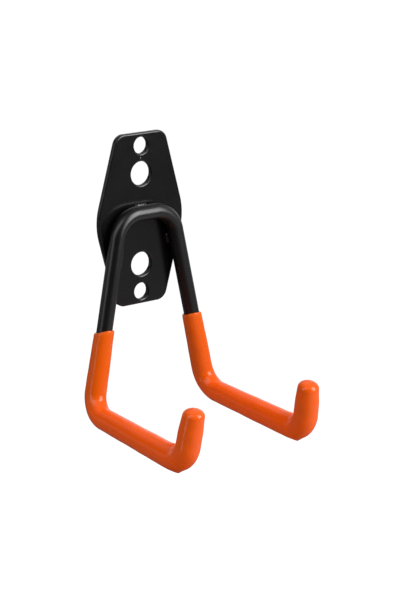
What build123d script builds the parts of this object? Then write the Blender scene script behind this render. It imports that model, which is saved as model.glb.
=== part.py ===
from build123d import *
import os

# A double wall hook: a steel plate with four holes, one bent steel rod welded to its
# front as two legs, two arms and two upturned tips, and a dipped coat on each hook.
# Millimetres. X to the right, +Y into the wall, Z up. The origin is the middle of the
# plate's back face, which lies on the wall.

# Wall plate, a flat six-sided blank with rounded corners
plate_height = 88.0
plate_end_width = 29.6
plate_waist_width = 54.2
plate_thickness = 2.5
plate_end_corner_r = 6.0
plate_waist_corner_r = 32.0
plate_front_edge_break = 0.4

# Holes in the plate, a small and a large one from each end inwards on its centre line
small_hole_d = 8.5
small_hole_to_end = 2.25
large_hole_d = 12.2
small_to_large_hole = 3.85

# Bent rod, by its centre line and the corners that the centre line would have unbent
rod_d = 8.0
rod_end_chamfer = 0.8
crown_z = 4.0
crown_width = 31.5
crown_bend_r = 13.0
leg_drop = 97.4
leg_forward_lean = 3.3
feet_width = 71.8
foot_bend_r = 11.8
arm_reach = 77.3
arm_fall = 3.5
tips_width = 74.2
tip_bend_r = 10.8
tip_rise = 27.7
tip_forward_lean = 4.9
tip_inward_lean = 1.9

# Dipped coat, thickest in the tip's bend, where it ran to
coat_rim_thickness = 1.0
coat_foot_thickness = 1.5
coat_tip_thickness = 2.1
coat_shoulder_thickness = 1.5
coat_end_thickness = 2.0
coat_end_r = 3.3
dip_line_z = -52.5
dip_tilt = 14.0
drip_length = 1.0
drip_root_depth = 2.4
drip_root_d = 9.4
drip_point_d = 0.8

# Weld beads between the rod and the plate, one on the crown and one inside each leg
crown_weld_length = 8.0
crown_weld_d = 3.0
leg_weld_length = 6.5
leg_weld_d = 3.4
leg_weld_drop = 16.0
weld_end_length = 2.0
weld_end_taper = 0.9
weld_centre_height = 0.6
weld_bite = 1.0

# Sizes that follow from the ones above
rod_r = rod_d / 2
rod_plane_y = -plate_thickness - rod_r
small_hole_z = plate_height / 2 - small_hole_to_end - small_hole_d / 2
large_hole_z = small_hole_z - small_hole_d / 2 - small_to_large_hole - large_hole_d / 2
coat_rim_r = rod_r + coat_rim_thickness
coat_foot_r = rod_r + coat_foot_thickness
coat_tip_r = rod_r + coat_tip_thickness
coat_shoulder_r = rod_r + coat_shoulder_thickness


def hook_corners(side):
    """Corners of one hook's centre line, from the crown to the end of the coat's tip."""
    crown = Vector(side * crown_width / 2, rod_plane_y, crown_z)
    foot = Vector(side * feet_width / 2, rod_plane_y - leg_forward_lean, crown_z - leg_drop)
    tip = Vector(side * tips_width / 2, foot.Y - arm_reach, foot.Z - arm_fall)
    end = tip + Vector(-side * tip_inward_lean, -tip_forward_lean, tip_rise)
    return crown, foot, tip, end


def rod_end(side):
    """Where the steel stops inside the coat's closed tip."""
    tip, end = hook_corners(side)[2:]
    return end - (end - tip).normalized() * coat_end_thickness


def bent_line(points, radii):
    """A centre line of straight runs joined by tangent bends."""
    return FilletPolyline(*points, radius=radii)


def section_at(path, radius):
    """A round section across the start of a path."""
    return Plane(path @ 0, z_dir=path % 0) * Circle(radius)


def tapered_run(run, start_r, end_r):
    """A straight length of coat that grows from one radius to the other."""
    start = Plane(run @ 0, z_dir=run % 0) * Circle(start_r)
    end = Plane(run @ 1, z_dir=run % 1) * Circle(end_r)
    return loft([start, end])


def wall_plate():
    """The blank with its four holes, its outline and holes broken at the front."""
    ends = [Vector(s * plate_end_width / 2, plate_height / 2) for s in (-1, 1)]
    waist = Vector(plate_waist_width / 2, 0)
    corners = [ends[0], ends[1], waist, Vector(ends[1].X, -ends[1].Y),
               Vector(ends[0].X, -ends[0].Y), -waist]
    outline = make_face(Polyline(*corners, close=True))
    waist_corners = outline.vertices().filter_by(lambda v: abs(v.Y) < plate_height / 4)
    end_corners = outline.vertices().filter_by(lambda v: abs(v.Y) > plate_height / 4)
    outline = fillet(end_corners, plate_end_corner_r)
    waist_corners = outline.vertices().filter_by(
        lambda v: any((v.center() - w.center()).length < 0.01 for w in waist_corners))
    outline = fillet(waist_corners, plate_waist_corner_r)
    for diameter, height in ((small_hole_d, small_hole_z), (large_hole_d, large_hole_z)):
        outline -= Locations((0, height), (0, -height)) * Circle(diameter / 2)
    plate = extrude(Plane.XZ * outline, plate_thickness)
    front_edges = plate.faces().sort_by(Axis.Y)[0].edges()
    return chamfer(front_edges, plate_front_edge_break)


def hook_rod():
    """One rod, bent from the end of the left hook over the crown to the end of the right."""
    left, right = hook_corners(-1), hook_corners(1)
    points = [rod_end(-1), left[2], left[1], left[0], right[0], right[1], right[2], rod_end(1)]
    bends = [tip_bend_r, foot_bend_r, crown_bend_r]
    path = bent_line(points, bends + bends[::-1])
    rod = sweep(section_at(path, rod_r), path=path)
    ends = rod.faces().filter_by(GeomType.PLANE)
    return chamfer(ends.edges(), rod_end_chamfer)


def dip_down():
    """The way down, seen from the part, while it hung tilted over the bath."""
    return Vector(0, 0, -1).rotate(Axis.X, -dip_tilt)


def coat_drip(tip_bend):
    """The drop that set on the lowest point of a tip's bend."""
    down = dip_down()
    lowest = max((tip_bend @ (i / 50) for i in range(51)), key=lambda p: p.dot(down))
    root = lowest + down * (coat_tip_r - drip_root_depth)
    height = drip_root_depth + drip_length
    from_root = (Align.CENTER, Align.CENTER, Align.MIN)
    drip = Cone(drip_root_d / 2, drip_point_d / 2, height, align=from_root)
    return Plane(root, z_dir=down) * drip


def coat_tip(upturn):
    """The coat on a tip's upturn, with its closed end rounded."""
    tip = tapered_run(upturn, coat_tip_r, coat_shoulder_r)
    end_face = tip.faces().sort_by_distance(upturn @ 1)[0]
    return fillet(end_face.edges(), coat_end_r)


def right_coat(rod):
    """The coat round the right hook, closed over the tip and level at the rim as it was dipped."""
    crown, foot, tip, end = hook_corners(1)
    centre_line = bent_line([crown, foot, tip, end], [foot_bend_r, tip_bend_r])
    leg, foot_bend, arm, tip_bend, upturn = centre_line.edges()
    rim = crown + (foot - crown) * ((crown.Z - dip_line_z) / leg_drop)
    growth = (coat_foot_r - coat_rim_r) / ((leg @ 1) - rim).length
    over_rim = Edge.make_line(rim - (leg % 0) * rod_d, leg @ 1)
    coat = tapered_run(over_rim, coat_rim_r - growth * rod_d, coat_foot_r)
    coat += sweep(section_at(foot_bend, coat_foot_r), path=foot_bend)
    coat += tapered_run(arm, coat_foot_r, coat_tip_r)
    coat += sweep(section_at(tip_bend, coat_tip_r), path=tip_bend)
    coat += coat_tip(upturn)
    coat += coat_drip(tip_bend)
    coat = split(coat, Plane(rim, z_dir=-dip_down()), keep=Keep.BOTTOM)
    return coat - rod


def weld_bead(centre, along, length, diameter):
    """A bead of weld, round and tapered at both ends, with its length along the joint."""
    r = diameter / 2
    end_r = r - weld_end_taper
    middle = length / 2 - weld_end_length
    half = [(0, length / 2), (end_r, length / 2), (r, middle)]
    profile = make_face(Polyline(*half, *[(x, -z) for x, z in reversed(half)], close=True))
    return Plane(centre, z_dir=along) * revolve(Plane.XZ * profile, Axis.Z)


def bead_offset(diameter, rod_depth):
    """How far a bead lies beside the rod's centre line for it to bite into both pieces."""
    reach = rod_r + diameter / 2 - weld_bite
    return (reach ** 2 - (rod_depth - weld_centre_height) ** 2) ** 0.5


def crown_weld(plate, rod):
    """The bead in the crevice above the crown."""
    height = crown_z + bead_offset(crown_weld_d, rod_r)
    centre = Vector(0, -plate_thickness - weld_centre_height, height)
    return weld_bead(centre, Vector(1, 0, 0), crown_weld_length, crown_weld_d) - rod - plate


def right_weld(plate, rod):
    """The bead in the crevice on the inner side of the right leg."""
    crown, foot = hook_corners(1)[:2]
    on_leg = crown + (foot - crown) * (leg_weld_drop / leg_drop)
    inward = bead_offset(leg_weld_d, -plate_thickness - on_leg.Y)
    centre = Vector(on_leg.X - inward, -plate_thickness - weld_centre_height, on_leg.Z)
    along = Vector(foot.X - crown.X, 0, foot.Z - crown.Z).normalized()
    return weld_bead(centre, along, leg_weld_length, leg_weld_d) - rod - plate


plate = wall_plate()
rod = hook_rod()
right_leg_weld = right_weld(plate, rod)
right_sleeve = right_coat(rod)
pieces = {
    "wall_plate": plate,
    "hook_rod": rod,
    "crown_weld": crown_weld(plate, rod),
    "right_leg_weld": right_leg_weld,
    "left_leg_weld": mirror(right_leg_weld, Plane.YZ),
    "right_sleeve": right_sleeve,
    "left_sleeve": mirror(right_sleeve, Plane.YZ),
}

os.makedirs("parts", exist_ok=True)
for name, piece in pieces.items():
    export_step(piece, "parts/" + name + ".step")
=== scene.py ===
import logging
import math
from dataclasses import dataclass
from enum import Enum
from typing import Any

import bpy
import numpy as np
from bpy.types import Material, NodeSocket, NodeTree, Object
from mathutils import Matrix, Vector
from mathutils.geometry import tessellate_polygon


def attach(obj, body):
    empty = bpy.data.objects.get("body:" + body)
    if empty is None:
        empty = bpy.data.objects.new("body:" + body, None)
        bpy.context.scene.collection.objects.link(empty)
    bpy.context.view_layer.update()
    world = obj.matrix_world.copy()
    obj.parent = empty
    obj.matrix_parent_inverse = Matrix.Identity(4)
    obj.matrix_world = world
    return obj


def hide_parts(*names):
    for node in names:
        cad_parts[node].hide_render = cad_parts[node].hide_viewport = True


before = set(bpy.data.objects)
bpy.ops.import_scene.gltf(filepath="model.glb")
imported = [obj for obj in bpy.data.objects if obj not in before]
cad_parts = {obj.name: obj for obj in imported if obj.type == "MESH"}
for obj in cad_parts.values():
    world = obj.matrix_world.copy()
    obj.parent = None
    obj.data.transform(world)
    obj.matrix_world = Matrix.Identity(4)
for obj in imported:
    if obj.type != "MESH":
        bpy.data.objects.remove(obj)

# A double wall hook of black powder-coated steel with two orange dipped hooks.
# Lengths are millimetres here, except in the studio and its lamps, and meshes are written
# in metres. X right, +Y into the wall, Z up; the origin is the middle of the plate's back.

MM = 0.001
BODY = "root"
Array = np.ndarray
Triple = tuple[float, float, float]
Pair = tuple[float, float]
log = logging.getLogger("double_hook")


class Side(Enum):
    """Which of the two hooks, by the sign of its X."""

    LEFT = -1
    RIGHT = 1


class Slot(Enum):
    """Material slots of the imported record."""

    PLATE = "wall_plate"
    ROD = "hook_rod"
    WELD = "weld"
    SLEEVE = "sleeve"


# Curves and grids


def unit(vectors: Array) -> Array:
    """Vectors divided by their own lengths."""
    return vectors / np.linalg.norm(vectors, axis=-1, keepdims=True)


def rise(value: Array, start: float, stop: float) -> Array:
    """0 up to start, 1 from stop on, and 3t^2 - 2t^3 with the share t between."""
    t = np.clip((value - start) / (stop - start), 0.0, 1.0)
    return t * t * (3.0 - 2.0 * t)


def bell(distance: Array, reach: float) -> Array:
    """e to the power of minus the square of distance over reach."""
    return np.exp(-((distance / reach) ** 2))


def turned(vector: Array, axis: Array, angle: Array) -> Array:
    """One vector turned about an axis by each of several angles.

    Formula: v cos(a) + (k x v) sin(a) + k (k . v) (1 - cos(a)), for the axis k.

    Args:
        vector: The vector, of three numbers.
        axis: The unit axis, of three numbers.
        angle: The angles in radians.

    Returns:
        An array with a row of three numbers for each angle.
    """
    cosine = np.cos(angle)[:, None]
    sine = np.sin(angle)[:, None]
    along = axis * float(axis @ vector)
    return vector * cosine + np.cross(axis, vector) * sine + along * (1.0 - cosine)


@dataclass(frozen=True)
class Stations:
    """Places along a centre line, each with a frame that doesn't twist.

    Attributes:
        point: The places, a row of three for each.
        side: Unit vectors across the line, on its right.
        up: Unit vectors across the line, at a right angle to side.
        along: Unit vectors along the line.
    """

    point: Array
    side: Array
    up: Array
    along: Array

    def rings(self, radius: Array, angle: Array) -> Array:
        """Rings of points round the line.

        Formula: point + r(s, a) (side cos(a) + up sin(a)).

        Args:
            radius: The radius at each station and angle, or one that spreads to them.
            angle: The angles round the line.

        Returns:
            An array of stations by angles by three.
        """
        spoke = (self.side[:, None, :] * np.cos(angle)[None, :, None]
                 + self.up[:, None, :] * np.sin(angle)[None, :, None])
        return self.point[:, None, :] + spoke * radius[..., None]


@dataclass(frozen=True)
class BentLine:
    """A centre line of straight runs joined by tangent arcs.

    Attributes:
        corners: The corners that the line would have unbent, a row of three for each.
        radii: The bend radius at each inner corner.
        across: The way that the side vector leans to, not along the first run.
    """

    corners: Array
    radii: Array
    across: Triple = (1.0, 0.0, 0.0)

    def parts(self) -> tuple[Array, Array, Array]:
        """Directions of the runs, turns of the bends, and lengths of runs and arcs.

        A bend of turn t and radius R takes R tan(t / 2) from both runs beside it and is
        R t long.

        Returns:
            The unit directions, the turns in radians, and the lengths in order, which
            begin and end with a run.
        """
        way = np.diff(self.corners, axis=0)
        heading = unit(way)
        turn = np.arccos(np.clip((heading[:-1] * heading[1:]).sum(axis=1), -1.0, 1.0))
        trim = self.radii * np.tan(turn / 2)
        run = np.linalg.norm(way, axis=1)
        run[:-1] -= trim
        run[1:] -= trim
        lengths = np.empty(2 * len(turn) + 1)
        lengths[0::2] = run
        lengths[1::2] = self.radii * turn
        return heading, turn, lengths

    def starts(self) -> Array:
        """Distances along the line at which its runs and arcs start, and its end."""
        return np.concatenate([[0.0], np.cumsum(self.parts()[2])])

    def at(self, distance: Array) -> Stations:
        """Places and frames at distances along the line.

        On a run the place is the run's start + d times its heading. On an arc round the
        centre c with the inward unit vector n, it is
        c + R (heading sin(d / R) - n cos(d / R)), and the frame turns by d / R.

        Args:
            distance: Distances from the line's start.

        Returns:
            The stations at those distances.
        """
        heading, turn, lengths = self.parts()
        starts = self.starts()
        across = np.array(self.across)
        side = unit(across - heading[0] * float(heading[0] @ across))
        up = np.cross(heading[0], side)
        here = self.corners[0]
        point, sides, ups, along = (np.empty((len(distance), 3)) for _ in range(4))
        for index, length in enumerate(lengths):
            past = distance >= starts[index] if index else np.full(len(distance), True)
            gone = distance[past] - starts[index]
            forward = heading[index // 2]
            if index % 2 == 0:
                point[past] = here + gone[:, None] * forward
                sides[past], ups[past], along[past] = side, up, forward
                here = here + length * forward
                continue
            bend = index // 2
            radius = self.radii[bend]
            inward = unit(heading[bend + 1] - forward * math.cos(turn[bend]))
            axis = np.cross(forward, inward)
            angle = gone / radius
            centre = here + inward * radius
            point[past] = centre + turned(-inward * radius, axis, angle)
            sides[past] = turned(side, axis, angle)
            ups[past] = turned(up, axis, angle)
            along[past] = turned(forward, axis, angle)
            whole = np.array([turn[bend]])
            here = centre + turned(-inward * radius, axis, whole)[0]
            side = turned(side, axis, whole)[0]
            up = turned(up, axis, whole)[0]
        return Stations(point, sides, ups, along)


def round_angles(count: int) -> Array:
    """Evenly spaced angles of a full turn, without its last."""
    return np.arange(count) * (2 * math.pi / count)


def make_piece(name: str, points: Array, faces: list[list[int]],
               smooth: Array | None = None) -> Object:
    """Puts millimetre points and faces into a new object in metres.

    Args:
        name: The piece's name.
        points: The vertices in millimetres, a row of three for each.
        faces: The corner numbers of each face.
        smooth: Which faces are shaded smooth, or None for all of them.

    Returns:
        The new object, at the origin.
    """
    mesh = bpy.data.meshes.new(name)
    mesh.from_pydata((points * MM).tolist(), [], faces)
    flags = np.full(len(mesh.polygons), True) if smooth is None else smooth
    mesh.polygons.foreach_set("use_smooth", flags)
    mesh.validate()
    mesh.update()
    piece = bpy.data.objects.new(name, mesh)
    bpy.context.scene.collection.objects.link(piece)
    log.info("%s: %d vertices, %d faces", name, len(mesh.vertices), len(mesh.polygons))
    return piece


def paint_attribute(piece: Object, name: str, values: Array) -> None:
    """Writes a number at each vertex under a name that a material reads."""
    attribute = piece.data.attributes.new(name, "FLOAT", "POINT")
    attribute.data.foreach_set("value", values.astype(np.float32))


def grid_faces(number: Array) -> list[list[int]]:
    """Quads of a numbered grid: (i, j), (i, j + 1), (i + 1, j + 1), (i + 1, j)."""
    return np.stack([number[:-1, :-1], number[:-1, 1:], number[1:, 1:], number[1:, :-1]],
                    axis=-1).reshape(-1, 4).tolist()


def ring_numbers(start: int, rows: int, columns: int) -> Array:
    """Vertex numbers of closed rings, with each ring's first repeated at its end."""
    return start + (np.arange(rows)[:, None] * columns
                    + np.append(np.arange(columns), 0)[None, :])


def capped_piece(name: str, grid: Array,
                 marks: dict[str, Array] | None = None) -> Object:
    """Makes a piece of rings in a row, the first and last drawn together to poles.

    Vertex 0 is the first pole, then come the rings between, and the last vertex is the
    other pole.

    Args:
        name: The piece's name.
        grid: The rings in millimetres, rings by columns by three.
        marks: Numbers to paint by name, rings by columns or by one.

    Returns:
        The new piece.
    """
    points = np.concatenate([grid[:1].mean(axis=1), grid[1:-1].reshape(-1, 3),
                             grid[-1:].mean(axis=1)])
    number = ring_numbers(1, len(grid) - 2, grid.shape[1])
    poles = np.zeros(grid.shape[1], int), np.full(grid.shape[1], len(points) - 1)
    first = np.stack([poles[0], number[0, 1:], number[0, :-1]], axis=-1)
    last = np.stack([number[-1, :-1], number[-1, 1:], poles[1]], axis=-1)
    piece = make_piece(name, points, grid_faces(number) + first.tolist() + last.tolist())
    for mark, values in (marks or {}).items():
        spread = np.broadcast_to(values, grid.shape[:2])
        paint_attribute(piece, mark, np.concatenate(
            [spread[0, :1], spread[1:-1].ravel(), spread[-1, :1]]))
    return piece


def dress(piece: Object, material: Material, slot: Slot,
          *nodes: str) -> None:
    """Gives a piece its finish and its body, and hides the imported parts that it stands
    for.

    Args:
        piece: The piece.
        material: Its finish.
        slot: Its material slot; not used.
        nodes: The nodes that it stands for.
    """
    piece.data.materials.append(material)
    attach(piece, BODY)
    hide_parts(*nodes)


# Shader sums


class Wire:
    """An output socket that takes part in sums, each of which adds a Math node."""

    def __init__(self, bench: "Bench", socket: NodeSocket) -> None:
        """Keeps the bench that the socket's node is on, and the socket."""
        self.bench = bench
        self.socket = socket

    def math(self, operation: str, *values: Any, clamp: bool = False) -> "Wire":
        """A Math node's output, from numbers or wires, kept from 0 to 1 if clamped."""
        return self.bench.node("ShaderNodeMath", {"operation": operation,
                                                  "use_clamp": clamp},
                               dict(enumerate(values)))

    def __add__(self, other: Any) -> "Wire":
        """Self + other."""
        return self.math("ADD", self, other)

    def __sub__(self, other: Any) -> "Wire":
        """Self - other."""
        return self.math("SUBTRACT", self, other)

    def __rsub__(self, other: Any) -> "Wire":
        """Other - self."""
        return self.math("SUBTRACT", other, self)

    def __mul__(self, other: Any) -> "Wire":
        """Self times other."""
        return self.math("MULTIPLY", self, other)

    def __pow__(self, other: Any) -> "Wire":
        """Self to the power of other."""
        return self.math("POWER", self, other)

    __radd__ = __add__
    __rmul__ = __mul__

    def clipped(self) -> "Wire":
        """Self kept between 0 and 1."""
        return self.math("ADD", self, 0.0, clamp=True)

    def between(self, low: float, high: float) -> "Wire":
        """0 at low, 1 at high, a straight line between and level outside."""
        return ((self - low) * (1.0 / (high - low))).clipped()


class Bench:
    """Builds one node tree."""

    def __init__(self, tree: NodeTree) -> None:
        """Empties the tree and keeps it."""
        self.tree = tree
        tree.nodes.clear()

    def node(self, kind: str, settings: dict[str, Any] | None = None,
             inputs: dict[str | int, Any] | None = None, output: str | int = 0) -> Wire:
        """Adds a node.

        Args:
            kind: The node's type.
            settings: Its own settings, by name, which are set first.
            inputs: Values or wires for its sockets, by identifier, name or number.
            output: The number, identifier or name of the output that is returned.

        Returns:
            That output.
        """
        node = self.tree.nodes.new(kind)
        for name, value in (settings or {}).items():
            setattr(node, name, value)
        for key, value in (inputs or {}).items():
            self.connect(value, self.pick(node.inputs, key))
        return Wire(self, self.pick(node.outputs, output))

    def connect(self, value: Any, socket: NodeSocket) -> None:
        """Links a wire to a socket, or sets the socket to a plain value.

        Args:
            value: A wire, a number, or the numbers of a vector or a colour.
            socket: The socket.
        """
        if isinstance(value, Wire):
            self.tree.links.new(value.socket, socket)
        else:
            socket.default_value = (*value, 1.0) if socket.type == "RGBA" else value

    @staticmethod
    def pick(sockets: Any, key: str | int) -> NodeSocket:
        """A socket by its number, its identifier or its name."""
        return sockets[key] if isinstance(key, int) else next(
            socket for socket in sockets if key in (socket.identifier, socket.name))

    def place(self) -> Wire:
        """The point in the piece's own space, in metres."""
        return self.node("ShaderNodeTexCoord", output="Object")

    def axes(self, vector: Wire) -> tuple[Wire, ...]:
        """The X, Y and Z of a vector."""
        return tuple(self.node("ShaderNodeSeparateXYZ", inputs={0: vector}, output=axis)
                     for axis in "XYZ")

    def rays(self) -> tuple[Wire, ...]:
        """1 on the camera's own rays, and 1 on glossy rays."""
        return tuple(self.node("ShaderNodeLightPath", output=name)
                     for name in ("Is Camera Ray", "Is Glossy Ray"))

    def attribute(self, name: str) -> Wire:
        """A number that the mesh carries at its vertices."""
        return self.node("ShaderNodeAttribute", {"attribute_name": name}, output="Fac")

    def noise(self, cloud: "Cloud") -> Wire:
        """Cloudy noise about 0 to 1, sampled in the piece's own space."""
        place = self.node("ShaderNodeVectorMath", {"operation": "ADD"},
                          {0: self.place(), 1: tuple(v * MM for v in cloud.offset)})
        return self.node("ShaderNodeTexNoise", inputs={
            "Vector": place, "Scale": 1.0 / (cloud.size * MM), "Detail": cloud.detail,
            "Roughness": cloud.harshness})

    def distance(self, to: Triple) -> Wire:
        """The distance from a point of the piece's own space, both in millimetres."""
        metres = self.node("ShaderNodeVectorMath", {"operation": "DISTANCE"},
                           {0: self.place(), 1: tuple(v * MM for v in to)}, "Value")
        return metres * (1.0 / MM)

    def blend(self, factor: Any, first: Any, second: Any) -> Wire:
        """A colour that goes from the first to the second with the factor."""
        return self.node("ShaderNodeMix", {"data_type": "RGBA"},
                         {"Factor_Float": factor, "A_Color": first, "B_Color": second},
                         "Result_Color")

    def output(self, shader: Wire, kind: str = "ShaderNodeOutputMaterial") -> None:
        """Makes a shader the surface of the tree's output node, which it adds."""
        node = self.tree.nodes.new(kind)
        self.tree.links.new(shader.socket, node.inputs["Surface"])

    def coat(self, tone: Wire, rough: Wire, height: Wire, specular: float) -> None:
        """Makes a bumped, glossy coat the material's surface.

        Args:
            tone: Its colour.
            rough: Its roughness.
            height: The height of its bumps in millimetres.
            specular: How strongly it mirrors, where 0.5 is a plain plastic.
        """
        bump = self.node("ShaderNodeBump", inputs={
            "Strength": 1.0, "Distance": MM, "Height": height})
        self.output(self.node("ShaderNodeBsdfPrincipled", inputs={
            "Base Color": tone, "Roughness": rough, "Normal": bump, "IOR": 1.5,
            "Specular IOR Level": specular}))


def grey(level: float) -> Triple:
    """A grey colour."""
    return level, level, level


def new_bench(name: str) -> tuple[Material, Bench]:
    """A new material and the bench for its nodes.

    Args:
        name: The material's name.

    Returns:
        The material and its bench.
    """
    material = bpy.data.materials.new(name)
    material.use_nodes = True
    return material, Bench(material.node_tree)


# Finishes


@dataclass(frozen=True)
class Cloud:
    """One layer of cloudy noise in a finish.

    Attributes:
        size: The size of its patches in millimetres.
        height: How high its patches stand in millimetres, below 0 for pits.
        dulls: How much rougher its patches are.
        detail: How many finer layers it has.
        harshness: How strong the finer layers are.
        offset: Where it is sampled from in millimetres, so that layers differ.
    """

    size: float
    height: float = 0.0
    dulls: float = 0.0
    detail: float = 2.0
    harshness: float = 0.5
    offset: Triple = (0.0, 0.0, 0.0)


@dataclass(frozen=True)
class PowderCoat:
    """Black powder coat over steel, with its orange peel, specks and rubbed edges.

    A pair that ends in _at says at which noise a mark starts and is whole.

    Attributes:
        specular: How strongly it mirrors, where 0.5 is a plain plastic.
        scuff: The noise whose peaks are dusty, and rubbed on an edge.
        shine: How much smoother a rubbed edge is.
        nib: The place of one hard grain under the coat, or None.
    """

    name: str
    colour: Triple = (0.0028, 0.0028, 0.0034)
    rubbed: Triple = (0.012, 0.012, 0.013)
    roughness: float = 0.20
    specular: float = 0.55
    waves: Cloud = Cloud(14.0, 0.05, 0.10, 3.0)
    peel: Cloud = Cloud(1.5, 0.006, 0.0, 1.5)
    grain: Cloud = Cloud(0.28, 0.0012, 0.08, 2.0, 0.6, (31.0, 7.0, 3.0))
    specks: Cloud = Cloud(0.9, 0.010, 0.0, 1.0, 0.5, (5.0, 40.0, 9.0))
    speck_at: Pair = (0.70, 0.80)
    scuff: Cloud = Cloud(2.6, 0.0, 0.15, 4.0, 0.65, (60.0, 2.0, 8.0))
    rub_at: Pair = (0.42, 0.72)
    dust_at: Pair = (0.60, 0.95)
    dust: float = 0.35
    shine: float = 0.08
    nib: Triple | None = None
    nib_radius: float = 0.75
    nib_height: float = 0.14

    def material(self) -> Material:
        """Builds the material.

        Returns:
            The material, which reads the attribute "edge", 1 on edges.
        """
        material, bench = new_bench(self.name)
        waves, grain, scuff = (bench.noise(cloud) for cloud in
                               (self.waves, self.grain, self.scuff))
        specks = bench.noise(self.specks).between(*self.speck_at)
        rub = (bench.attribute("edge") * scuff.between(*self.rub_at)).clipped()
        dust = scuff.between(*self.dust_at) * self.dust
        tone = bench.blend((rub + dust).clipped(), self.colour, self.rubbed)
        rough = (self.roughness + (waves - 0.5) * self.waves.dulls
                 + (grain - 0.5) * self.grain.dulls - rub * self.shine
                 + dust * self.scuff.dulls)
        height = (bench.noise(self.peel) * self.peel.height + grain * self.grain.height
                  + specks * self.specks.height + waves * self.waves.height)
        if self.nib:
            near = (bench.distance(self.nib) * (1.0 / self.nib_radius)).clipped()
            height = height + self.nib_height * (1.0 - near ** 2.0)
        bench.coat(tone, rough, height, self.specular)
        return material


@dataclass(frozen=True)
class DippedVinyl:
    """Orange vinyl that the hooks were dipped in, glossy with slow runs.

    A pair that ends in _at says at which noise a mark starts and is whole.

    Attributes:
        colour: The colour on the arms, lighter than on the legs as painted light.
        leg: The colour on the legs, darker as painted shade.
        thin_rim_and_highlight: The colour at the thin rim.
        deep_and_crease_shade: The colour of the runs, and of the painted shade in the tip
            bend's crease.
        crease_shade_depth: How far the painted crease shade goes to that colour.
        run_depth: How far a run goes to it.
        pits: The noise whose peaks are pores.
        scuff: The noise whose peaks are worn dull.
    """

    name: str
    # The arms lighter and the legs darker: painted light and shade.
    colour: Triple = (0.95, 0.102, 0.0010)
    leg: Triple = (0.755, 0.099, 0.0010)
    # The rim lighter, partly for the thin coat and partly as a painted highlight.
    thin_rim_and_highlight: Triple = (0.92, 0.165, 0.016)
    # Darker in the runs, and painted shade in the tip bend's crease.
    deep_and_crease_shade: Triple = (0.76, 0.064, 0.0008)
    roughness: float = 0.20
    specular: float = 0.43
    crease_shade_depth: float = 0.8
    run_depth: float = 0.5
    runs: Cloud = Cloud(7.0, 0.018, 0.08, 1.0)
    peel: Cloud = Cloud(2.1, 0.004, 0.0, 2.0, 0.5, (12.0, 30.0, 5.0))
    grain: Cloud = Cloud(0.35, 0.0008, 0.05, 2.0, 0.6, (3.0, 8.0, 50.0))
    pits: Cloud = Cloud(1.3, -0.012, 0.0, 1.0, 0.5, (70.0, 3.0, 15.0))
    pore_at: Pair = (0.74, 0.82)
    scuff: Cloud = Cloud(5.0, 0.0, 0.07, 5.0, 0.7, (9.0, 90.0, 4.0))
    worn_at: Pair = (0.55, 0.85)

    def material(self) -> Material:
        """Builds the material.

        Returns:
            The material, which reads "rim", 1 at the rim, "painted_arm_light", 1 on the
            arms, where light is painted, and "crease_shade", 1 in the tip bend's crease,
            where shade is painted.
        """
        material, bench = new_bench(self.name)
        runs, grain = bench.noise(self.runs), bench.noise(self.grain)
        pores = bench.noise(self.pits).between(*self.pore_at)
        worn = bench.noise(self.scuff).between(*self.worn_at)
        # Painted shade in the tip bend's crease, with the runs' own darker patches.
        depth = (bench.attribute("crease_shade") * self.crease_shade_depth
                 + (runs - 0.5) * self.run_depth).clipped()
        # Painted light and shade: the legs darker, the arms lighter.
        body = bench.blend(bench.attribute("painted_arm_light"), self.leg, self.colour)
        body = bench.blend(depth, body, self.deep_and_crease_shade)
        # The rim lighter, partly for the thin coat and partly as a painted highlight.
        tone = bench.blend(bench.attribute("rim"), body, self.thin_rim_and_highlight)
        rough = (self.roughness + (runs - 0.5) * self.runs.dulls
                 + (grain - 0.5) * self.grain.dulls + worn * self.scuff.dulls)
        height = (runs * self.runs.height + bench.noise(self.peel) * self.peel.height
                  + grain * self.grain.height + pores * self.pits.height)
        bench.coat(tone, rough, height, self.specular)
        return material


# The plate


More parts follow.
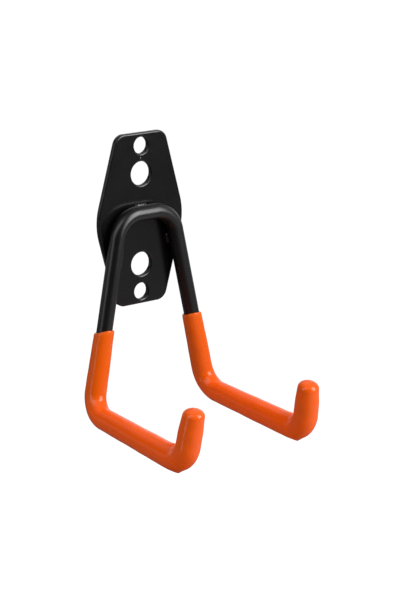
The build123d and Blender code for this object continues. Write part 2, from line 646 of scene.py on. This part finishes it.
@dataclass
class WallPlate:
    """The six-sided plate with four holes in it."""

    height: float = 88.0
    end_width: float = 29.6
    waist_width: float = 54.2
    thickness: float = 2.5
    end_radius: float = 6.0
    waist_radius: float = 32.0
    small_hole: Pair = (8.5, 37.5)
    large_hole: Pair = (12.2, 23.3)
    front_roll: Pair = (0.90, 0.75)
    back_round: float = 0.2
    front_rows: int = 11
    back_rows: int = 5
    arc_steps: int = 28
    hole_steps: int = 96
    nib: Triple = (-0.4, -2.5, 30.8)

    def outline(self) -> tuple[Array, Array]:
        """The rounded outline, anticlockwise from the front.

        An arc of radius r in a corner with the inward bisector b and half angle h has
        its centre at corner + b r / sin(h), and its points at centre + r n, where n
        turns evenly from one side's outward normal to the next one's.

        Returns:
            Points and outward unit normals as rows of X and Z.
        """
        x_end, z_end, x_waist = self.end_width / 2, self.height / 2, self.waist_width / 2
        corners = np.array([[x_end, -z_end], [x_waist, 0.0], [x_end, z_end],
                            [-x_end, z_end], [-x_waist, 0.0], [-x_end, -z_end]])
        radii = np.array([self.end_radius, self.waist_radius, self.end_radius] * 2)
        heading = unit(np.roll(corners, -1, axis=0) - corners)
        before = np.roll(heading, 1, axis=0)
        normal_in = np.stack([before[:, 1], -before[:, 0]], axis=1)
        normal_out = np.stack([heading[:, 1], -heading[:, 0]], axis=1)
        turn = np.arccos((before * heading).sum(axis=1))
        bisector = -unit(normal_in + normal_out)
        centre = corners + bisector * (radii / np.cos(turn / 2))[:, None]
        first = np.arctan2(normal_in[:, 1], normal_in[:, 0])
        angle = first[:, None] + turn[:, None] * np.linspace(0, 1, self.arc_steps + 1)
        normals = np.stack([np.cos(angle), np.sin(angle)], axis=-1)
        points = centre[:, None, :] + normals * radii[:, None, None]
        return points.reshape(-1, 2), normals.reshape(-1, 2)

    def hole(self, diameter: float, z: float) -> tuple[Array, Array]:
        """A hole's circle, clockwise from the front.

        Args:
            diameter: The hole's diameter.
            z: The height of its middle.

        Returns:
            Points and unit normals towards the middle, as rows of X and Z.
        """
        angle = -round_angles(self.hole_steps)
        spoke = np.stack([np.cos(angle), np.sin(angle)], axis=1)
        return spoke * diameter / 2 + np.array([0.0, z]), -spoke

    def edge_profile(self) -> tuple[Array, Array, Array]:
        """The edge from the front face round to the back face.

        The punched front edge rolls over in a quarter ellipse, w (1 - sin(a)) in from
        the wall and h (1 - cos(a)) from the face, with a from 0 to a quarter turn, and
        the back edge is a quarter circle.

        Returns:
            How far in each row lies, its Y, and how much it is rubbed.
        """
        front = np.linspace(0, math.pi / 2, self.front_rows)
        back = np.linspace(math.pi / 2, 0, self.back_rows)
        wide, high = self.front_roll
        inset = np.concatenate([wide * (1 - np.sin(front)),
                                self.back_round * (1 - np.sin(back))])
        y = np.concatenate([-self.thickness + high * (1 - np.cos(front)),
                            -self.back_round * (1 - np.cos(back))])
        rubbed = np.concatenate([np.sin(2 * front), 0.5 * np.sin(2 * back)])
        return inset, y, rubbed

    def build(self, finish: PowderCoat) -> None:
        """Carries the edge round the outline and the holes, and fills both faces.

        Args:
            finish: The plate's finish.
        """
        loops = [self.outline()]
        for diameter, z in (self.small_hole, self.large_hole):
            loops += [self.hole(diameter, z), self.hole(diameter, -z)]
        inset, y, rubbed = self.edge_profile()
        rows = len(y)
        points, edge, faces, starts = [], [], [], [0]
        for loop, normal in loops:
            flat = loop[None] - normal[None] * inset[:, None, None]
            depth = np.broadcast_to(y[:, None], flat.shape[:2])
            points.append(np.stack([flat[..., 0], depth, flat[..., 1]], axis=-1))
            edge.append(np.repeat(rubbed, len(loop)))
            faces += grid_faces(ring_numbers(starts[-1], rows, len(loop)).T)
            starts.append(starts[-1] + rows * len(loop))
        walls = len(faces)
        for row, outward in ((0, -1.0), (rows - 1, 1.0)):
            faces += self.fill([grid[row] for grid in points], starts, row, outward)
        cloud = np.concatenate([grid.reshape(-1, 3) for grid in points])
        smooth = np.arange(len(faces)) < walls
        piece = make_piece("steel_plate", cloud, faces, smooth)
        paint_attribute(piece, "edge", np.concatenate(edge))
        dress(piece, finish.material(), Slot.PLATE, "wall_plate")

    @staticmethod
    def fill(rings: list[Array], starts: list[int], row: int,
             outward: float) -> list[list[int]]:
        """Triangles between the outline and the holes of one face.

        Args:
            rings: The face's rings, the outline's first.
            starts: The first vertex number of each loop.
            row: The row of each loop that these rings are.
            outward: The sign of Y that the face points to.

        Returns:
            The corner numbers of each triangle.
        """
        numbers = np.concatenate([start + row * len(ring) + np.arange(len(ring))
                                  for start, ring in zip(starts, rings)])
        flat = [[Vector((x, z, 0.0)) for x, _, z in ring] for ring in rings]
        triangles = np.array(tessellate_polygon(flat))
        spot = np.concatenate(rings)[:, [0, 2]][triangles]
        first, second = spot[:, 1] - spot[:, 0], spot[:, 2] - spot[:, 0]
        area = first[:, 0] * second[:, 1] - first[:, 1] * second[:, 0]
        backwards = area * outward > 0
        triangles[backwards] = triangles[backwards][:, ::-1]
        return numbers[triangles].tolist()


# The rod and its coat


@dataclass
class HookShape:
    """The line that both hooks follow."""

    rod_diameter: float = 8.0
    plane_y: float = -6.5
    crown_z: float = 4.0
    crown_width: float = 31.5
    crown_radius: float = 13.0
    leg_drop: float = 97.4
    leg_lean: float = 3.3
    feet_width: float = 71.8
    foot_radius: float = 11.8
    arm_reach: float = 77.3
    arm_fall: float = 3.5
    tips_width: float = 74.2
    tip_radius: float = 10.8
    tip_rise: float = 27.7
    tip_lean: float = 4.9
    tip_inward: float = 1.9

    def corners(self, side: Side) -> Array:
        """Corners of one hook's line.

        Args:
            side: Which hook.

        Returns:
            The crown, the foot, the tip and the coat's end, a row of three for each.
        """
        sign = side.value
        crown = np.array([sign * self.crown_width / 2, self.plane_y, self.crown_z])
        foot = np.array([sign * self.feet_width / 2, self.plane_y - self.leg_lean,
                         self.crown_z - self.leg_drop])
        tip = np.array([sign * self.tips_width / 2, foot[1] - self.arm_reach,
                        foot[2] - self.arm_fall])
        end = tip + np.array([-sign * self.tip_inward, -self.tip_lean, self.tip_rise])
        return np.stack([crown, foot, tip, end])

    def hook_line(self, side: Side) -> BentLine:
        """One hook's centre line."""
        return BentLine(self.corners(side), np.array([self.foot_radius, self.tip_radius]))


@dataclass
class BentRod:
    """The steel rod from one tip over the crown to the other."""

    shape: HookShape
    end_gap: float = 2.0
    end_chamfer: float = 0.8
    step: float = 0.7
    columns: int = 72
    bend_squash: float = 0.012
    bend_reach: float = 7.0

    def line(self) -> BentLine:
        """Joins both hooks' lines at the crown, each cut short inside its coat.

        Returns:
            The rod's centre line, from the left tip to the right one.
        """
        left, right = self.shape.corners(Side.LEFT), self.shape.corners(Side.RIGHT)
        for hook in (left, right):
            hook[3] -= unit(hook[3] - hook[2]) * self.end_gap
        bends = [self.shape.tip_radius, self.shape.foot_radius, self.shape.crown_radius]
        return BentLine(np.concatenate([left[::-1], right]),
                        np.array(bends + bends[::-1]))

    def build(self, finish: PowderCoat) -> None:
        """Carries a round section along the line, a little flattened in the bends.

        The radius is r (1 + q cos(2 a)), where q grows from 0 to bend_squash at the
        middle of a bend, and the ends are chamfered and closed.

        Args:
            finish: The rod's finish.
        """
        line = self.line()
        starts = line.starts()
        radius, chamfer = self.shape.rod_diameter / 2, self.end_chamfer
        inner = np.arange(chamfer, starts[-1] - chamfer, self.step)
        distance = np.concatenate([[0.0, 0.0], inner, [starts[-1] - chamfer],
                                   [starts[-1]] * 2])
        round_r = np.full(len(distance), radius)
        round_r[[0, -1]] = 0.0
        round_r[[1, -2]] = radius - chamfer
        middles = (starts[1:-1:2] + starts[2::2]) / 2
        squash = sum(bell(distance - middle, self.bend_reach) for middle in middles)
        angle = round_angles(self.columns)
        oval = 1.0 + self.bend_squash * squash[:, None] * np.cos(2 * angle)[None, :]
        grid = line.at(distance).rings(round_r[:, None] * oval, angle)
        piece = capped_piece("bent_rod", grid)
        dress(piece, finish.material(), Slot.ROD, "hook_rod")


@dataclass(frozen=True)
class Swell:
    """A local rise of the coat on the inner side of a bend, or a dent in it.

    Attributes:
        height: How far it rises in millimetres, below 0 for a dent.
        past: How far its middle lies past the bend's middle, in millimetres.
        long: Its reach along the line in millimetres.
        wide: Its reach round the line in radians.
        aside: How far round from the bend's inner side it lies, in radians.
    """

    height: float
    past: float
    long: float
    wide: float
    aside: float = 0.0

    def over(self, from_bend: Array, round_from_inner: Array) -> Array:
        """Its height over the coat, a bell curve both ways."""
        return self.height * (bell(round_from_inner - self.aside, self.wide)
                              * bell(from_bend - self.past, self.long))


@dataclass
class DippedSleeve:
    """The vinyl coat round one hook.

    The vinyl pooled inside both bends, with a dimple at the foot, a web before the tip's
    bend and a crease in it. Over rim_clear past the rim and end_clear before the end,
    such swells fade in and out. The whole closed end is pushed out by lift, and by
    lift_lean more on the side at lean_angle. Two marks are painted light and have no
    shape:
    shade painted in the tip bend's crease, and light painted on the arms, less on the tip.
    lift_lean more on the side at lean_angle. The fold and the thin tip are colour only.
    """

    shape: HookShape
    side: Side
    phase: float
    lift: float
    lift_lean: float
    lean_angle: float = -0.66
    lean_radius: float = 5.4
    lift_over: Pair = (8.0, 3.0)
    rim_thickness: float = 1.0
    foot_thickness: float = 1.5
    tip_thickness: float = 2.1
    shoulder_thickness: float = 1.38
    end_thickness: float = 2.0
    end_round: float = 3.8
    end_square: float = 2.4
    swell: float = 0.22
    swell_back: float = 7.5
    swell_reach: float = 4.5
    rim_z: float = -52.5
    rim_tilt: float = 14.0
    rim_fade: float = 14.0
    rim_waves: Pair = (0.22, 0.12)
    rim_clear: Pair = (0.3, 2.8)
    rim_band: float = 1.1
    lip_round: float = 0.75
    lip_edge: float = 0.25
    lip_depth: float = 0.12
    lip_rows: int = 9
    bore_gap: float = 0.02
    bore_step: float = 1.5
    run_height: float = 0.030
    end_clear: Pair = (1.5, 7.5)
    # Painted light on the arms is this share less on the tip, over this reach.
    tip_light_cut: float = 0.5
    tip_light_reach: float = 12.0
    # Where shade is painted in the tip bend's crease; it has no shape.
    crease_shade: Swell = Swell(1.0, 1.2, 1.6, 0.9)
    foot_swells: tuple[Swell, ...] = (Swell(0.30, 0.0, 5.0, 0.75),
                                      Swell(-0.16, -3.0, 2.0, 0.70, 0.1))
    tip_swells: tuple[Swell, ...] = (Swell(0.50, 0.0, 4.5, 0.75),
                                     Swell(0.45, -9.5, 3.0, 0.60, -0.2),
                                     Swell(0.16, 2.6, 0.9, 0.85),
                                     Swell(-0.22, 1.2, 0.7, 0.85),
                                     Swell(0.12, -0.4, 1.0, 0.85))
    drip_height: float = 0.95
    drip_reach: float = 3.4
    drip_soft: float = 0.06
    drip_power: float = 1.4
    drip_depth: float = 3.0
    drip_zone: float = 20.0
    cap_rows: int = 25
    step: float = 0.5
    columns: int = 112

    def down(self) -> Array:
        """The way down while the hook hung tilted over the bath."""
        tilt = math.radians(self.rim_tilt)
        return np.array([0.0, -math.sin(tilt), -math.cos(tilt)])

    def rim_distance(self) -> float:
        """How far along the line the rim's middle lies.

        Returns:
            The distance, the leg's length times the rim's share of its drop.
        """
        leg = self.shape.corners(self.side)
        share = (self.shape.crown_z - self.rim_z) / self.shape.leg_drop
        return share * float(np.linalg.norm(leg[1] - leg[0]))

    def profile(self, line: BentLine) -> tuple[Array, Array, Array]:
        """The coat's wall from the middle of its pocket, over the rim, to its tip.

        The bore is a straight line. The lip is a quarter turn, the outside grows in
        straight lines to the foot and to the tip bend, and the end is a superellipse
        with r = n cos(a)^(2 / k) and s = shoulder + h sin(a)^(2 / k).

        Args:
            line: The hook's centre line.

        Returns:
            Distances along the line, radii, and 1 on rows that are outside.
        """
        starts = line.starts()
        rim, end = self.rim_distance(), starts[-1]
        rod = self.shape.rod_diameter / 2
        bore, pocket = rod + self.bore_gap, end - self.end_thickness + self.bore_gap
        foot, tip = rod + self.foot_thickness, rod + self.tip_thickness
        narrow = rod + self.shoulder_thickness
        lip_share = 1 - np.cos(np.linspace(0, math.pi / 2, self.lip_rows))
        lip_r = bore + self.lip_edge + (self.rim_thickness - self.lip_edge) * lip_share
        lip_s = rim + self.lip_round * (1 - np.sqrt(1 - lip_share ** 2))
        shoulder = end - self.end_round
        outer_s = np.arange(rim + self.lip_round + 0.1, shoulder - 0.2, self.step)
        outer_r = np.interp(outer_s, [rim, *starts[1:5], shoulder],
                            [rod + self.rim_thickness, foot, foot, tip, tip, narrow])
        outer_r += self.swell * bell(outer_s - shoulder + self.swell_back,
                                     self.swell_reach)
        cap = np.linspace(0, math.pi / 2, self.cap_rows)
        cap_s = shoulder + self.end_round * np.sin(cap) ** (2 / self.end_square)
        cap_r = narrow * np.clip(np.cos(cap), 0.0, 1.0) ** (2 / self.end_square)
        inner_lip = rim + self.lip_depth
        bore_s = np.arange(pocket, inner_lip, -self.bore_step)
        distance = np.concatenate([[pocket], bore_s, [inner_lip], lip_s, outer_s, cap_s])
        radius = np.concatenate([[0.0], np.full(len(bore_s) + 1, bore), lip_r, outer_r,
                                 cap_r])
        outside = np.zeros(len(distance))
        outside[-len(outer_s) - len(cap_s):] = 1.0
        return distance, radius, outside

    def slow_runs(self, reach: Array, turn: Array) -> Array:
        """Low waves that wander along and round the coat.

        Formula, for the distance s, the angle a and the phase p: h (sin(0.34 s +
        2 sin(a + p)) + sin(0.19 s - 2 a + p) + sin(0.71 s + 3 a + 2 p) / 2).

        Args:
            reach: The distances along the line.
            turn: The angles round it.

        Returns:
            The height of the waves.
        """
        phase = self.phase
        return self.run_height * (np.sin(0.34 * reach + 2.0 * np.sin(turn + phase))
                                  + np.sin(0.19 * reach - 2.0 * turn + phase)
                                  + np.sin(0.71 * reach + 3.0 * turn + 2 * phase) / 2)

    def build(self, finish: Material) -> None:
        """Carries the wall along the hook, then lets the vinyl run, pool and drip.

        The swells and runs fade out over the rim and the closed end. The end's rows
        then move along the line by the lift.

        Args:
            finish: The vinyl, which both sleeves share.
        """
        line = self.shape.hook_line(self.side)
        starts = line.starts()
        distance, radius, outside = self.profile(line)
        angle = round_angles(self.columns)
        outer = outside[:, None]
        reach, turn = distance[:, None], angle[None, :]
        foot, tip = (starts[1] + starts[2]) / 2, (starts[3] + starts[4]) / 2
        past_rim, before_end = reach - self.rim_distance(), starts[-1] - reach
        mask = outer * rise(before_end, *self.end_clear) * rise(past_rim, *self.rim_clear)
        inner = np.arctan2(np.sin(turn - math.pi / 2), np.cos(turn - math.pi / 2))
        raised = self.slow_runs(reach, turn)
        for swells, bend in ((self.foot_swells, foot), (self.tip_swells, tip)):
            raised = raised + sum(swell.over(reach - bend, inner) for swell in swells)
        wall = radius[:, None] + mask * raised
        stations = line.at(distance)
        grid = stations.rings(wall, angle)
        grid = grid + self.rim_shift(grid, stations, past_rim, turn)
        grid = grid + self.drip(grid, stations.point, outside, reach, tip)
        lean = np.cos(turn - self.lean_angle) * wall / self.lean_radius
        near_end = outer * rise(before_end, *self.lift_over)
        lift = near_end * (self.lift + self.lift_lean * lean)
        grid = grid + lift[..., None] * stations.along[:, None, :]
        # Painted light and shade: the arms lighter than the legs and less so on the tip,
        # shade in the tip bend's crease, and the rim lighter, partly as a painted
        # highlight.
        painted_arm_light = (rise(reach, starts[1], starts[2])
                 - self.tip_light_cut * rise(reach, tip, tip + self.tip_light_reach))
        marks = {"rim": outer * bell(past_rim, self.rim_band), "painted_arm_light": painted_arm_light,
                 "crease_shade": mask * self.crease_shade.over(reach - tip, inner)}
        name = self.side.name.lower()
        piece = capped_piece(name + "_dipped_sleeve", grid, marks)
        dress(piece, finish, Slot.SLEEVE, name + "_sleeve")

    def rim_shift(self, grid: Array, stations: Stations, from_rim: Array,
                  turn: Array) -> Array:
        """How the rows near the rim move along the leg, so that the rim lies level.

        A point w off the line moves by -(w . d) / (t . d) along the line's heading t,
        with d the way down, and by a slow wave. The move fades out down the leg.

        Args:
            grid: The wall's points.
            stations: The stations of its rows.
            from_rim: How far each row lies past the rim.
            turn: The angles round the line.

        Returns:
            The move of each point.
        """
        down = self.down()
        off = grid - stations.point[:, None, :]
        level = -(off @ down) / (stations.along @ down)[:, None]
        broad, fine = self.rim_waves
        wave = (broad * np.sin(2 * turn + self.phase)
                + fine * np.sin(3 * turn - self.phase))
        fade = rise(from_rim, self.rim_fade, 0.0)
        return ((level + wave) * fade)[..., None] * stations.along[:, None, :]

    def drip(self, grid: Array, centres: Array, outside: Array,
             reach: Array, tip: float) -> Array:
        """The set drop under the tip's bend.

        A point at the distance q across the way down from the lowest point moves down
        by h (1 + e - sqrt((q / R)^2 + e^2))^k where that is above 0, which is a soft V.

        Args:
            grid: The wall's points.
            centres: The centre line at each row.
            outside: 1 on rows outside.
            reach: The distance of each row along the line.
            tip: The distance of the tip bend's middle.

        Returns:
            The move of each point.
        """
        down = self.down()
        below = grid @ down
        lowest = grid[np.unravel_index(np.argmax(below), below.shape)]
        across = grid - lowest
        across = across - (across @ down)[..., None] * down
        gap = np.linalg.norm(across, axis=-1) / self.drip_reach
        point = 1 + self.drip_soft - np.sqrt(gap ** 2 + self.drip_soft ** 2)
        height = self.drip_height * np.clip(point, 0.0, None) ** self.drip_power
        lower = rise((grid - centres[:, None, :]) @ down, 0.0, self.drip_depth)
        near = (np.abs(reach - tip) < self.drip_zone) * outside[:, None]
        return (height * lower * near)[..., None] * down


# The welds


@dataclass
class WeldBead:
    """A short bead with its ripples.

    Its section is an ellipse, flat times as deep as it is wide, whose face points
    facing degrees above straight out of the wall. It stands for the solid of its node.
    """

    name: str
    node: str
    centre: Triple
    along: Triple
    length: float
    diameter: float
    flat: float = 1.0
    facing: float = 0.0
    ripples: float = 6.0
    ripple_heights: Pair = (0.025, 0.010)
    ripple_lean: float = 0.9
    blunt: Pair = (2.6, 0.45)
    rows: int = 72
    columns: int = 48

    def build(self, finish: Material) -> None:
        """Makes the bead.

        With u from -1 to 1 along the bead, the radius is r (1 - |u|^p)^q over
        sqrt((cos(a + f) / k)^2 + sin(a + f)^2), with p and q from blunt, the facing f and
        the flatness k. Ripples of two sines raise it, like a saw's teeth, and lean with
        the angle a round it.

        Args:
            finish: The coat that all the welds share.
        """
        u = -np.cos(np.linspace(0, math.pi, self.rows))
        angle = round_angles(self.columns)
        centre, along = np.array(self.centre), unit(np.array(self.along))
        half = along * self.length / 2
        line = BentLine(np.stack([centre - half, centre + half]), np.array([]),
                        (0.0, -1.0, 0.0))
        power, root = self.blunt
        radius = self.diameter / 2 * np.clip(1 - np.abs(u) ** power, 0, None) ** root
        lean = angle + math.radians(self.facing)
        section = 1.0 / np.sqrt((np.cos(lean) / self.flat) ** 2 + np.sin(lean) ** 2)
        phase = (self.ripples * math.pi * u[:, None]
                 + self.ripple_lean * np.cos(angle)[None, :])
        first, second = self.ripple_heights
        ripple = 1.0 + first * np.sin(phase) + second * np.sin(2 * phase)
        grid = line.at((u + 1) * self.length / 2).rings(
            radius[:, None] * section * ripple, angle)
        piece = capped_piece(self.name, grid)
        dress(piece, finish, Slot.WELD, self.node)


def leg_weld(shape: HookShape, side: Side, drop: float = 16.0, inward: float = 3.1,
             depth: float = 2.8) -> WeldBead:
    """The bead inside one leg.

    Args:
        shape: The hooks' line.
        side: Which leg.
        drop: How far below the crown's line it lies.
        inward: How far inward of the leg's line it lies.
        depth: How far before the wall it lies.

    Returns:
        The bead.
    """
    crown, foot = shape.corners(side)[:2]
    on_leg = crown + (foot - crown) * (drop / shape.leg_drop)
    centre = (on_leg[0] - side.value * inward, -depth, on_leg[2])
    along = (foot[0] - crown[0], 0.0, foot[2] - crown[2])
    name = side.name.lower()
    return WeldBead(name + "_leg_bead", name + "_leg_weld", centre, along, length=6.0,
                    diameter=2.8)


# Studio and camera


@dataclass(frozen=True)
class SoftLamp:
    """One rectangular soft lamp.

    Attributes:
        name: The lamp's name.
        place: Its middle, in metres.
        size: Its width and height in metres.
        power: Its power in watts.
        roll: How far it is turned about the way it faces, in degrees.
    """

    name: str
    place: Triple
    size: Pair
    power: float
    roll: float = 0.0

    def build(self, aim: Triple) -> None:
        """Hangs the lamp so that it faces a point.

        Args:
            aim: The point in metres.
        """
        light = bpy.data.lights.new(self.name, "AREA")
        light.shape = "RECTANGLE"
        light.size, light.size_y = self.size
        light.energy = self.power
        lamp = bpy.data.objects.new(self.name, light)
        bpy.context.scene.collection.objects.link(lamp)
        facing = (Vector(aim) - Vector(self.place)).to_track_quat("-Z", "Y")
        lamp.matrix_world = (Matrix.Translation(self.place)
                             @ facing.to_matrix().to_4x4()
                             @ Matrix.Rotation(math.radians(self.roll), 4, "Z"))


@dataclass
class Studio:
    """A pale floor, a white surround and three soft lamps.

    Lengths are metres, but for the glowing patch's middle and the paper's noise,
    millimetres.

    To the camera, floor and surround are white. To glossy rays they are dark, with
    brighter parts that glow only for them, so that the object shows painted reflections,
    among them a glowing patch on the floor before it. To all other rays they are plain
    greys.
    """

    floor_z: float = -0.50
    floor_size: float = 30.0
    floor_cells: int = 8
    floor_white: float = 0.75
    floor_dark: float = 0.015
    floor_beside: float = 0.045
    floor_front: float = 0.04
    floor_glow_patch: float = 0.40
    floor_back: float = 0.06
    floor_right: float = 0.22
    glow_patch: Triple = (360.0, -680.0, -500.0)
    room_dark: float = 0.01
    room_wall: float = 0.42
    room_roof: float = 0.22
    room_flank: float = 0.40
    room_back: float = 0.40
    ambient: float = 0.25
    overhead: float = 0.66
    paper: Cloud = Cloud(900.0)
    paper_tones: Pair = (0.46, 0.50)
    front_tone: float = 0.80
    lamps: tuple[SoftLamp, ...] = (
        SoftLamp("front_right", (0.44, -0.83, 0.44), (0.56, 0.88), 11.2, -4.0),
        SoftLamp("upper_left", (-0.80, -0.24, 0.55), (0.46, 1.35), 3.2, -40.0),
        SoftLamp("left_strip", (-1.16, 0.08, -0.33), (0.17, 0.90), 0.9))
    aim: Triple = (0.0, -0.045, -0.03)

    def build(self) -> None:
        """Makes the floor, the world and the lamps."""
        self.build_floor()
        self.build_world()
        for lamp in self.lamps:
            lamp.build(self.aim)

    def build_floor(self) -> None:
        """Lays the floor, which keeps the object's shadow.

        Each part of it that glossy rays see brighter is a mask over its X and Y.
        """
        half = self.floor_size / 2
        edge = np.linspace(-half, half, self.floor_cells + 1) / MM
        x, y = np.meshgrid(edge, edge)
        points = np.stack([x, y, np.full_like(x, self.floor_z / MM)], axis=-1)
        faces = grid_faces(np.arange(x.size).reshape(x.shape))
        floor = make_piece("studio_floor", points.reshape(-1, 3), faces)
        material, bench = new_bench("pale_floor")
        camera, gloss = bench.rays()
        x, y, _ = bench.axes(bench.place())
        # The floor glows to glossy rays only, in these patches, so that the object shows
        # painted reflections of them.
        beside = bench.distance((0.0, 0.0, self.floor_z / MM)).between(100.0, 700.0)
        front = (x - y * 0.45).between(0.0, 0.4) * y.between(0.3, -0.3)
        glow_patch = bench.distance(self.glow_patch).between(1500.0, 200.0)
        back = y.between(0.1, 0.5)
        right = x.between(0.3, 0.9) * y.between(-0.9, -0.3)
        sheen = (self.floor_dark + self.floor_beside * beside + self.floor_front * front
                 + self.floor_glow_patch * front * glow_patch + self.floor_back * back
                 + self.floor_right * right).clipped()
        tone = bench.blend(bench.noise(self.paper), *map(grey, self.paper_tones))
        tone = bench.blend(front, tone, grey(self.front_tone))
        tone = bench.blend(gloss, tone, grey(0.0))
        sheen = bench.blend(sheen, grey(0.0), grey(1.0))
        diffuse = bench.node("ShaderNodeBsdfDiffuse", inputs={"Color": tone})
        glow = bench.node("ShaderNodeEmission", inputs={
            "Color": bench.blend(camera, sheen, grey(self.floor_white)),
            "Strength": (camera + gloss).clipped()})
        bench.output(bench.node("ShaderNodeAddShader", inputs={0: diffuse, 1: glow}))
        floor.data.materials.append(material)

    def build_world(self) -> None:
        """Makes the surround, whose brighter parts are masks over a ray's way."""
        world = bpy.data.worlds.new("studio")
        world.use_nodes = True
        bpy.context.scene.world = world
        bench = Bench(world.node_tree)
        camera, gloss = bench.rays()
        x, y, z = bench.axes(bench.node("ShaderNodeTexCoord", output="Generated"))
        wall = y.between(0.0, 0.45) * x.between(-0.45, 0.10)
        roof = z.between(0.35, 0.95)
        flank = x.between(0.45, 0.95)
        back = y.between(0.2, 0.6) * z.between(0.35, 0.10)
        room = (self.room_dark + self.room_wall * wall + self.room_roof * roof
                + self.room_flank * flank + self.room_back * back)
        dull = self.ambient * x.between(-1.5, 0.6) + self.overhead * roof
        strength = ((camera + gloss * room).clipped()
                    + (1.0 - camera - gloss).clipped() * dull)
        bench.output(bench.node("ShaderNodeBackground", inputs={
            "Color": grey(1.0), "Strength": strength}), "ShaderNodeOutputWorld")


@dataclass
class PhotoCamera:
    """The camera that took the picture, with its angles in degrees."""

    place: Triple = (-537.45, -738.19, 217.64)
    azimuth: float = -38.027
    elevation: float = 15.935
    roll: float = -0.355
    focal_pixels: float = 1863.75
    image_height: float = 601.0
    sensor: float = 36.0

    def build(self) -> None:
        """Places the camera.

        The view goes along F = (-sin a cos e, cos a cos e, -sin e), with the picture's
        right R = (cos a, sin a, 0) and its down D = F x R, both turned by the roll.
        """
        a, e, r = (math.radians(v) for v in (self.azimuth, self.elevation, self.roll))
        forward = Vector((-math.sin(a) * math.cos(e), math.cos(a) * math.cos(e),
                          -math.sin(e)))
        level = Vector((math.cos(a), math.sin(a), 0.0))
        plumb = forward.cross(level)
        right = level * math.cos(r) + plumb * math.sin(r)
        down = plumb * math.cos(r) - level * math.sin(r)
        lens = bpy.data.cameras.new("camera")
        lens.sensor_width = self.sensor
        lens.lens = self.focal_pixels / self.image_height * self.sensor
        lens.clip_start, lens.clip_end = 0.05, 100.0
        camera = bpy.data.objects.new("camera", lens)
        bpy.context.scene.collection.objects.link(camera)
        turn = Matrix((right, -down, -forward)).transposed().to_4x4()
        camera.matrix_world = Matrix.Translation(Vector(self.place) * MM) @ turn
        bpy.context.scene.camera = camera


def main() -> None:
    """Builds the double hook, its studio and its camera."""
    logging.basicConfig(level=logging.INFO, format="%(name)s: %(message)s")
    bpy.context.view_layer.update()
    bpy.context.scene.view_settings.view_transform = "Standard"
    PhotoCamera().build()
    shape = HookShape()
    plate = WallPlate()
    plate.build(PowderCoat("plate_powder_coat", nib=plate.nib))
    BentRod(shape).build(PowderCoat("rod_powder_coat", roughness=0.31, specular=0.66))
    vinyl = DippedVinyl("dipped_vinyl").material()
    DippedSleeve(shape, Side.LEFT, phase=0.6, lift=0.50, lift_lean=0.30).build(vinyl)
    DippedSleeve(shape, Side.RIGHT, phase=2.1, lift=-0.15, lift_lean=-0.12).build(vinyl)
    coat = PowderCoat("weld_powder_coat", roughness=0.22, specular=0.75,
                      peel=Cloud(1.5, 0.010, 0.0, 1.5)).material()
    crown = WeldBead("crown_bead", "crown_weld", centre=(-0.6, -2.78, 7.25),
                     along=(1.0, 0.0, 0.0), length=7.2, diameter=3.6, flat=0.55,
                     facing=36.0)
    for bead in (crown, leg_weld(shape, Side.LEFT), leg_weld(shape, Side.RIGHT)):
        bead.build(coat)
    Studio().build()


if __name__ == "__main__":
    main()
